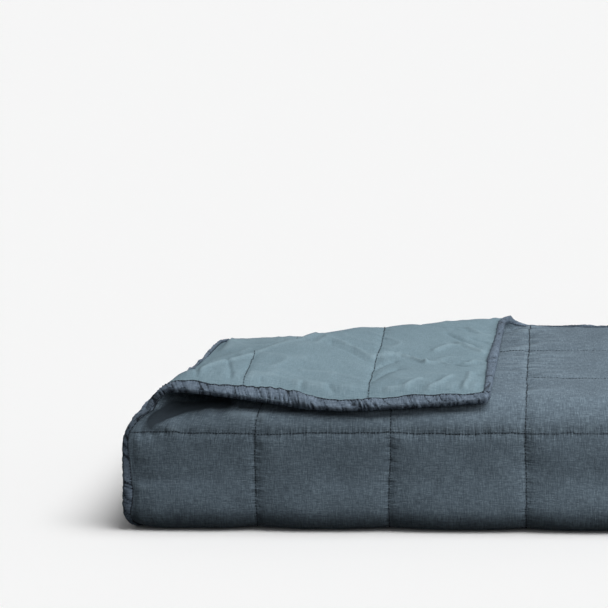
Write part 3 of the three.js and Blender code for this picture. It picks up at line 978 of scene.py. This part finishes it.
def seam_lines():
    """The binding's own stitches, along its inner edge where it shows."""
    return [
        (-1, (0, 0), (CREASE_AT_SIDE, 0)),
        (1, (CREASE_AT_SIDE - 50, 0), (LAST_STITCH_ALONG, 0)),
        (1, (0, CREASE_AT_END - 30), (0, FOLD_AT)),
        (-1, (0, SHEET_WIDTH - CREASE_AT_END + 40), (0, SHEET_WIDTH)),
    ]


def on_seam(along, across, side):
    """Moves a line from the cloth's edge to the binding's seam, and gives its height too."""
    thickness = np.maximum(STRIP_AT_SEAM * strip_swell(along, across), CHANNEL_HEIGHT + STRIP_THICKNESS)
    inset = strip_width(along, across) - SEAM_STITCH_INSET
    along, across = (along, inset) if across[0] == across[-1] else (inset, across)
    return along, across, side * (thickness + SEAM_STITCH_LIFT)


def thread_tube(side, along, across, base, start):
    """One length of thread, closed at both ends: points, places along it, and faces."""
    gone = np.arange(len(along)) * THREAD_STEP
    wave = 0.5 + 0.5 * np.cos(2 * pi * gone / STITCH_LENGTH)
    rise = lerp(-THREAD_DIP, THREAD_RISE, ramp(0.3, 0.7, wave))
    centre = cloth_point(along, across, base + side * rise)
    above = cloth_point(along, across, base + side * (rise + 1))
    way = unit(np.gradient(centre, axis=0))
    beside = unit(np.cross(way, above - centre))
    up = np.cross(beside, way)
    angles = np.arange(THREAD_SIDES) * 2 * pi / THREAD_SIDES
    ring = [(beside * math.cos(a) + up * math.sin(a)) * THREAD_RADIUS * METRES + centre for a in angles]
    points = np.stack(ring, 1).reshape(-1, 3)
    places = np.repeat(np.column_stack([gone, 0 * gone]), THREAD_SIDES, axis=0)
    numbers = range(start, start + len(points))
    ends = [numbers[:THREAD_SIDES][::-1], numbers[-THREAD_SIDES:]]
    faces = tube_faces(len(along), THREAD_SIDES, start) + ends
    return points, places, faces


def stitches_mesh(name, creases_of):
    points, places, faces = [], [], []
    for on_binding, lines in ((False, stitch_lines()), (True, seam_lines())):
        for side, *ends in lines:
            start, end = np.array(ends)
            count = int(norm(end - start) / THREAD_STEP)
            along, across = np.linspace(start, end, count).T
            if on_binding:
                along, across, base = on_seam(along, across, side)
            else:
                along, across = wobbled(along, across, start[1] == end[1])
                base, _ = relief(along, across, side, creases_of[side])
            tube = thread_tube(side, along, across, base, len(points))
            for whole, part in zip((points, places, faces), tube):
                whole.extend(part)
    return add_mesh(name, np.array(points), faces, np.array(places), {})


# Materials


def srgb(*colour):
    """A colour of the photograph's scale, 0 to 255, as a linear colour."""
    share = np.array(colour) / 255
    return (*np.where(share <= 0.04045, share / 12.92, ((share + 0.055) / 1.055) ** 2.4), 1)


class Nodes:
    """A short way to lay out the nodes of a material or of the world."""

    def __init__(self, owner):
        owner.use_nodes = True
        self.owner = owner
        self.tree = owner.node_tree
        self.tree.nodes.clear()

    def add(self, kind, inputs=None, **settings):
        node = self.tree.nodes.new("ShaderNode" + kind)
        for key, value in settings.items():
            setattr(node, key, value)
        for key, value in (inputs or {}).items():
            self.put(node.inputs[key], value)
        return node

    def put(self, socket, value):
        if isinstance(value, bpy.types.NodeSocket):
            self.tree.links.new(value, socket)
        else:
            socket.default_value = value

    def finish(self, kind, inputs, output="OutputMaterial"):
        """Adds the shader and the output, and gives back the owner of the nodes."""
        shader = self.add(kind, inputs)
        self.add(output, {"Surface": shader.outputs[0]})
        return self.owner

    def math(self, operation, *values):
        node = self.add("Math", operation=operation)
        for socket, value in zip(node.inputs, values):
            self.put(socket, value)
        return node.outputs[0]

    def centred(self, value):
        return self.math("SUBTRACT", value, 0.5)

    def spread(self, value, low, high, to_low, to_high):
        inputs = {"Value": value, "From Min": low, "From Max": high, "To Min": to_low, "To Max": to_high}
        return self.add("MapRange", inputs).outputs[0]

    def blend(self, share, first, second):
        node = self.add("Mix", data_type="RGBA")
        for key, value in (("Factor", share), ("A", first), ("B", second)):
            self.put(node.inputs[key], value)
        return next(out for out in node.outputs if out.type == "RGBA")

    def cloth_uv(self):
        return self.add("UVMap", uv_map="cloth").outputs[0]

    def threads(self, uv, across, along, detail=3):
        """Noise that is stretched to so many streaks a metre each way."""
        scaled = self.add("VectorMath", {0: uv, 1: (across, along, 1)}, operation="MULTIPLY")
        inputs = {"Vector": scaled.outputs[0], "Scale": 1, "Detail": detail, "Roughness": 0.6}
        return self.add("TexNoise", inputs, noise_dimensions="2D").outputs[0]

    def crossed(self, uv, close, long, detail=3):
        """Threads that run both ways, in equal shares."""
        warp = self.threads(uv, close, long, detail)
        weft = self.threads(uv, long, close, detail)
        return self.math("MULTIPLY_ADD", weft, 0.5, self.math("MULTIPLY", warp, 0.5))

    def bump(self, height, strength, distance, **more):
        inputs = {"Height": height, "Strength": strength, "Distance": distance}
        return self.add("Bump", inputs | more).outputs[0]


# The weave, in threads a metre over and along them, and its shares in colour and height
WEAVE = (620, 90)
FINE_WEAVE = (1500, 190, 2)
FINE_WEAVE_HEIGHT = 0.7
WEAVE_BUMP = (0.5, 0.0008)
TONE_REACH = 0.3
MOTTLE = (26, 22, 5)
MOTTLE_SHARE = 0.25
SHEEN = 0.1

# Beside the stitched lines: streaks, and a line of painted shade in the stitched groove that comes and goes
SEAM_STREAKS = (260, 45)
SEAM_STREAK_REACH = 7
SEAM_STREAK_BUMP = (0.9, 0.0018)
SEAM_PAINTED_SHADE = (0.4, 1.3)
SEAM_BREAKS = (260, 260, 1)
SEAM_BREAK_RANGE = (0.38, 0.56, 0.25, 0.85)

# Where the marks of the geometry paint light and shade on the cloth: a painted highlight on crests, and
# painted shade in the binding's furrows and in hollows
PAINTED_CREST_HIGHLIGHT = (0.2, 2.4)
PAINTED_FURROW_SHADE = (0.62, 0.92)
PAINTED_HOLLOW_SHADE = (-5.6, -3)


def linen(name, colour, dark, pale, slub, crest_highlight):
    """Linen of uneven crossed threads, with painted shade along the stitched lines, in furrows and in
    hollows, and a painted highlight on crests.
    """
    colour, dark, pale = srgb(*colour), srgb(*dark), srgb(*pale)
    n = Nodes(bpy.data.materials.new(name))
    uv = n.cloth_uv()
    furrow, crest, *from_lines = (
        n.add("Attribute", attribute_name=label).outputs["Fac"]
        for label in ("furrow", "crest", "from_along_line", "from_across_line")
    )
    from_along, from_across = (n.math("ABSOLUTE", distance) for distance in from_lines)

    def streaks_beside(distance, across, along):
        """Streaks that fade away from a stitched line."""
        near = n.math("EXPONENT", n.math("DIVIDE", distance, -SEAM_STREAK_REACH))
        return n.math("MULTIPLY", n.centred(n.threads(uv, across, along, 2)), near)

    weave = n.crossed(uv, *WEAVE)
    fine = n.crossed(uv, *FINE_WEAVE)
    streaks_over = streaks_beside(from_across, *SEAM_STREAKS)
    streaks_up = streaks_beside(from_along, *SEAM_STREAKS[::-1])

    tone = n.math("ADD", n.centred(weave), n.centred(fine))
    tone = n.math("MULTIPLY_ADD", n.centred(n.threads(uv, *MOTTLE)), MOTTLE_SHARE, tone)
    broken = n.spread(n.threads(uv, *SEAM_BREAKS), *SEAM_BREAK_RANGE)
    seam = n.spread(n.math("MINIMUM", from_along, from_across), *SEAM_PAINTED_SHADE, 1, 0)
    # The last four layers are painted light and shade: a painted highlight on crests, and painted shade along
    # the stitched lines, in the binding's furrows and in hollows.
    layers = (
        (n.spread(tone, 0, -TONE_REACH, 0, slub), dark),
        (n.spread(tone, 0, TONE_REACH, 0, slub), pale),
        (n.spread(crest, *PAINTED_CREST_HIGHLIGHT, 0, crest_highlight), pale),
        (n.math("MULTIPLY", seam, broken), dark),
        (n.spread(furrow, *PAINTED_FURROW_SHADE, 0, 0.9), dark),
        (n.spread(crest, *PAINTED_HOLLOW_SHADE, 0.95, 0), dark),
    )
    base = colour
    for share, shade in layers:
        base = n.blend(share, base, shade)

    woven = n.bump(n.math("MULTIPLY_ADD", fine, FINE_WEAVE_HEIGHT, weave), *WEAVE_BUMP)
    surface = {
        "Base Color": base,
        "Roughness": 0.92,
        "Specular IOR Level": 0.2,
        "Sheen Weight": SHEEN,
        "Sheen Roughness": 0.55,
        "Sheen Tint": pale,
        "Normal": n.bump(n.math("ADD", streaks_over, streaks_up), *SEAM_STREAK_BUMP, Normal=woven),
    }
    return n.finish("BsdfPrincipled", surface)


def thread_material():
    n = Nodes(bpy.data.materials.new("thread"))
    twist = n.threads(n.cloth_uv(), 900, 1, 2)
    base = n.blend(n.spread(twist, 0.4, 0.6, 0, 1), srgb(22, 28, 34), srgb(50, 60, 68))
    bump = n.bump(twist, 0.4, 0.0002)
    surface = {"Base Color": base, "Roughness": 0.8, "Specular IOR Level": 0.2, "Normal": bump}
    return n.finish("BsdfPrincipled", surface)


# The stage and the light

FLOOR_HALF = 20
FLOOR_WHITE = 0.95
BACKDROP_RADIUS = 19
BACKDROP_HEIGHT = 12
BACKDROP_SIDES = 48
BACKDROP_WHITE = 0.92
KEY_STRENGTH = 2.45
KEY_ANGLE = 45
KEY_FROM = (0.42, -0.08, 1)
SIDE_LAMP_PLACE = np.array([1.2, -0.8, 0.8])
SIDE_LAMP_AIM = (0.15, -0.1, 0.1)
SIDE_LAMP_SIZE = 0.9
SIDE_LAMP_WATTS = 19
DOME_HEIGHTS = (-0.1, 0.6)
DOME_STRENGTHS = (0.04, 0.35)


def add_stage(name, points, faces, shader, inputs):
    mesh = bpy.data.meshes.new(name)
    mesh.from_pydata(points, [], faces)
    mesh.materials.append(Nodes(bpy.data.materials.new(name)).finish(shader, inputs))
    piece = add_object(name, mesh)
    piece.visible_diffuse = False
    return piece


def add_floor():
    h = FLOOR_HALF
    points = [(-h, -h, 0), (h, -h, 0), (h, h, 0), (-h, h, 0)]
    white = {"Color": (FLOOR_WHITE, FLOOR_WHITE, FLOOR_WHITE, 1)}
    floor = add_stage("floor", points, [(0, 1, 2, 3)], "BsdfDiffuse", white)


def add_backdrop():
    """A pale wall all round, seen by the camera only, so the light stays the studio's."""
    angles = np.arange(BACKDROP_SIDES) * 2 * pi / BACKDROP_SIDES
    ring = np.column_stack([np.cos(angles), np.sin(angles)]) * BACKDROP_RADIUS
    points = [(x, y, z) for z in (0, BACKDROP_HEIGHT) for x, y in ring]
    glow = {"Color": (1, 1, 1, 1), "Strength": BACKDROP_WHITE}
    backdrop = add_stage("backdrop", points, tube_faces(2, BACKDROP_SIDES), "Emission", glow)
    backdrop.visible_glossy = backdrop.visible_shadow = False


def add_lamp(name, kind, strength, place, back, level):
    """A lamp at a place that shines away from back, with its side square to level."""
    data = bpy.data.lights.new(name, kind)
    data.energy = strength
    lamp = add_object(name, data)
    back = unit(np.array(back))
    side = unit(np.cross(level, back))
    stand(lamp, place, side, np.cross(back, side), back)
    return lamp


def add_key_light():
    """A soft light from high up, a little to the right."""
    lamp = add_lamp("key", "SUN", KEY_STRENGTH, (0, 0, 0), KEY_FROM, (0, 1, 0.01))
    lamp.data.angle = math.radians(KEY_ANGLE)


def add_side_lamp(pieces):
    """A soft lamp at the front right, which falls off to the left. It lights only the quilt."""
    back = SIDE_LAMP_PLACE - SIDE_LAMP_AIM
    lamp = add_lamp("side", "AREA", SIDE_LAMP_WATTS, SIDE_LAMP_PLACE, back, (0, 0, 1))
    lamp.data.size = SIDE_LAMP_SIZE
    receivers = bpy.data.collections.new("quilt")
    for piece in pieces:
        receivers.objects.link(piece)
    lamp.light_linking.receiver_collection = receivers


def add_world():
    """A studio dome: bright overhead, and dim from below."""
    world = bpy.data.worlds.new("studio")
    bpy.context.scene.world = world
    n = Nodes(world)
    way = n.add("TexCoord").outputs["Generated"]
    up = n.add("SeparateXYZ", {0: way}).outputs["Z"]
    light = {"Strength": n.spread(up, *DOME_HEIGHTS, *DOME_STRENGTHS)}
    n.finish("Background", light, "OutputWorld")


# Everything put together

bpy.context.scene.view_settings.view_transform = "Standard"
add_camera()
add_floor()
add_backdrop()
add_world()
add_key_light()

CREASES = {
    1: creases_on(1, FRONT_CREASES),
    -1: creases_on(-1, FLAP_CREASES) + creases_on(-1, UNDER_CREASES, under=True),
}
face = panel_mesh("face_cloth", 1, face_steps, CREASES[1])
reverse = panel_mesh("reverse_cloth", -1, reverse_steps, CREASES[-1])
binding = binding_mesh("edge_binding")
stitches = stitches_mesh("stitches", CREASES)

looks = (
    (face, linen("face_linen", (90, 104, 115), (52, 61, 69), (130, 147, 158), 0.65, 0.5)),
    (reverse, linen("reverse_linen", (107, 128, 138), (76, 94, 103), (142, 160, 168), 0.35, 0.2)),
    (binding, linen("binding_linen", (85, 98, 112), (22, 27, 33), (128, 143, 158), 0.6, 0.5)),
    (stitches, thread_material()),
)
for piece, material in looks:
    piece.data.materials.append(material)
add_side_lamp([face, reverse, binding, stitches])

for piece, slot in ((face, "face_linen"), (reverse, "reverse_linen"), (binding, "binding_linen")):
    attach(piece, "root")
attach(stitches, "root")
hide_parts("face_panel")
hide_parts("backing_panel")
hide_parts("binding")
